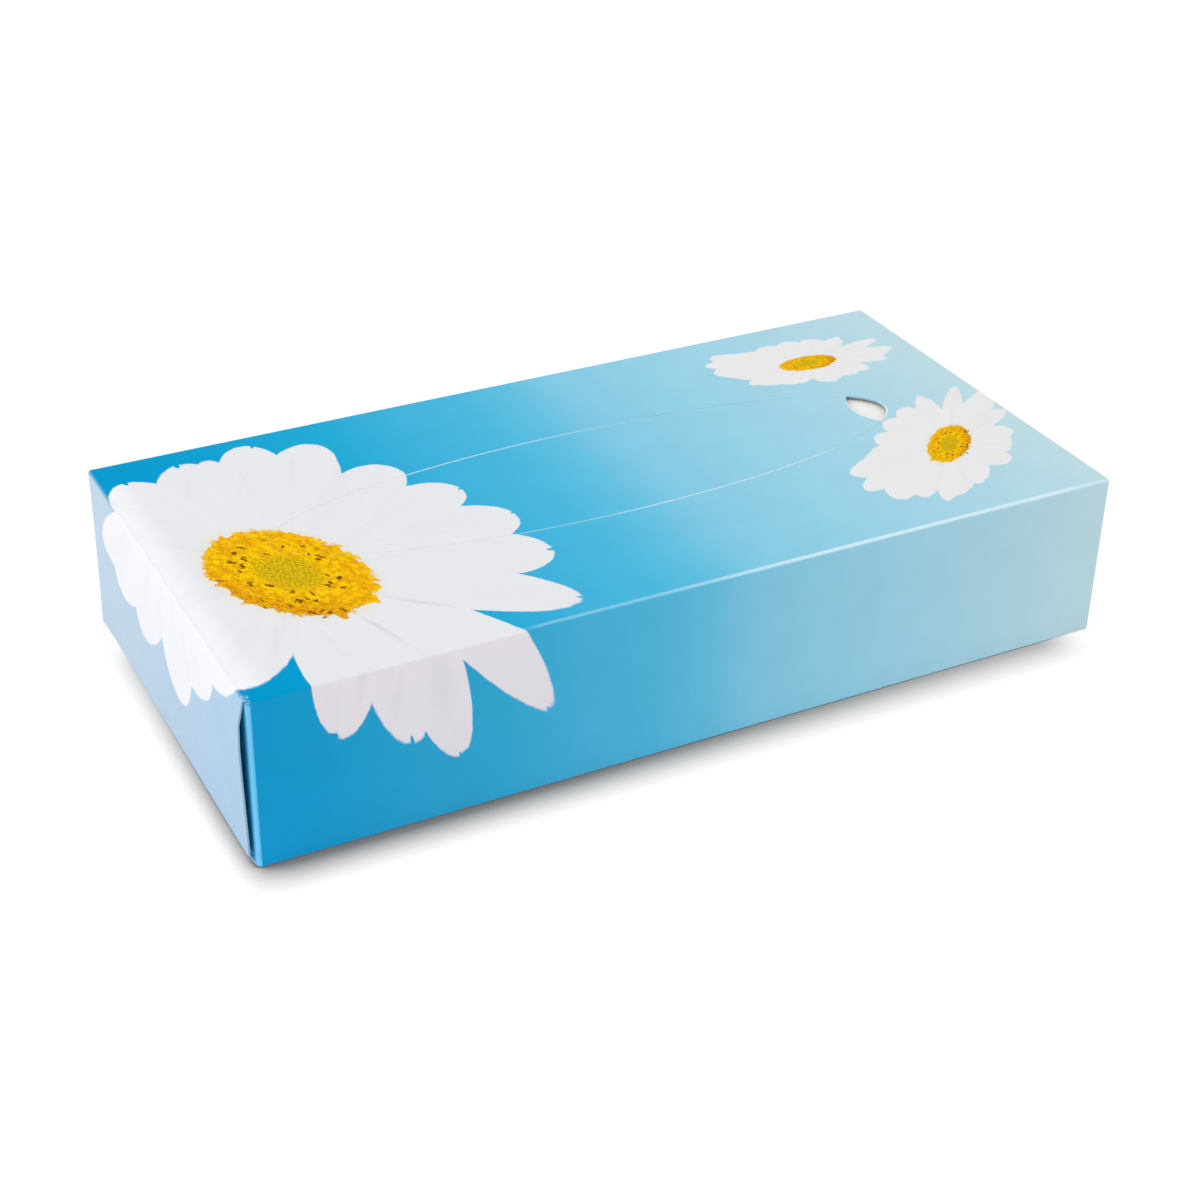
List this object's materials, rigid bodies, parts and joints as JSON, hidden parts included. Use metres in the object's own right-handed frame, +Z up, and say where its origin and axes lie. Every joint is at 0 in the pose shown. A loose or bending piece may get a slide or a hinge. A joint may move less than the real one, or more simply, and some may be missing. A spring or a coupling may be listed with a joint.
{
  "type": "tissue box",
  "caption": "Flat folded-board tissue box with a perforated tear-off oval, a thumb hole and glued end flaps, holding a stack of interfolded tissues.",
  "frame": {"origin": "middle of the underside of the closed carton", "axes": "+X along the box towards the thumb hole, +Y from the front long side to the back long side, +Z up"},
  "size_m": [0.23, 0.116, 0.0445],
  "materials": {
    "printed_board": "satin varnished print",
    "tissue": "soft matte"
  },
  "bodies": {
    "root": {"carton": "printed_board", "tissue_stack": "tissue"}
  },
  "joints": []
}
